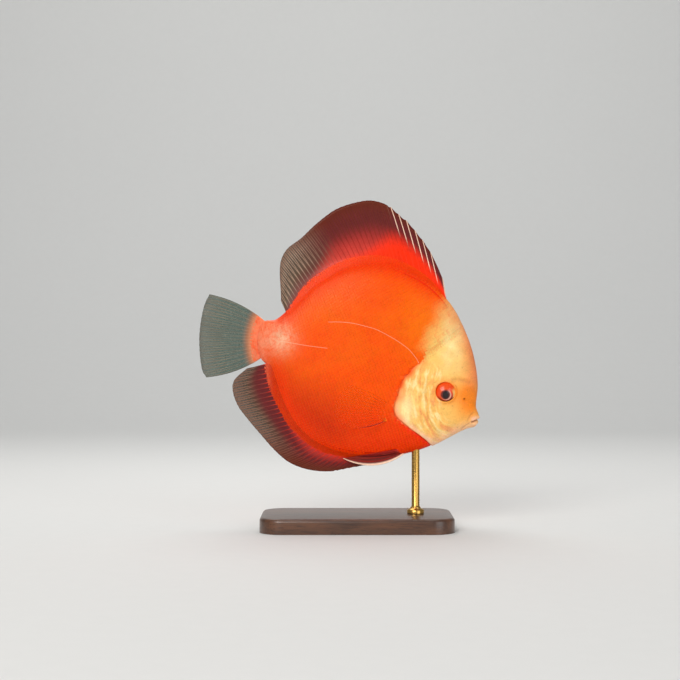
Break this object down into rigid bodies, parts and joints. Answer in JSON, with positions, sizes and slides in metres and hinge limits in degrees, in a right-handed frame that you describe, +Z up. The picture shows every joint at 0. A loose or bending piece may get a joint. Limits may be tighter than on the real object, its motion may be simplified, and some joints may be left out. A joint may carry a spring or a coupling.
{
  "type": "discus fish model on a stand",
  "caption": "Life-size still model of a tall, disc-shaped freshwater fish with long dorsal and anal fins, a fanned tail and a small mouth, held by a rod over a flat base.",
  "frame": {"origin": "middle of the stand base's underside, on the floor", "axes": "+X towards the fish's head, +Y towards its left flank (the right flank faces -Y), +Z up"},
  "size_m": [0.1709, 0.066, 0.1986],
  "materials": {
    "scaled_skin": "wet, finely scaled orange-red skin",
    "face_skin": "smooth wet cream-yellow skin",
    "median_fins": "wet maroon membrane over ribbed rays",
    "tail_membrane": "clear grey-green membrane over ribbed rays",
    "pectoral_membrane": "nearly clear membrane over fine orange rays",
    "pelvic_fins": "wet red membrane with a pale leading edge",
    "eye": "clear wet gloss over a red iris and a black pupil",
    "stand_wood": "dark satin varnish",
    "stand_brass": "brushed brass"
  },
  "bodies": {
    "root": {"head": "face_skin", "gill_cover_right": "face_skin", "gill_cover_left": "face_skin", "lower_jaw": "face_skin", "trunk": "scaled_skin", "tail_stalk": "scaled_skin", "dorsal_fin": "median_fins", "anal_fin": "median_fins", "tail_fin": "tail_membrane", "pectoral_fin_right": "pectoral_membrane", "pectoral_fin_left": "pectoral_membrane", "pelvic_fin_right": "pelvic_fins", "pelvic_fin_left": "pelvic_fins", "eye_right": "eye", "eye_left": "eye", "stand_base": "stand_wood", "stand_rod": "stand_brass"}
  },
  "joints": []
}
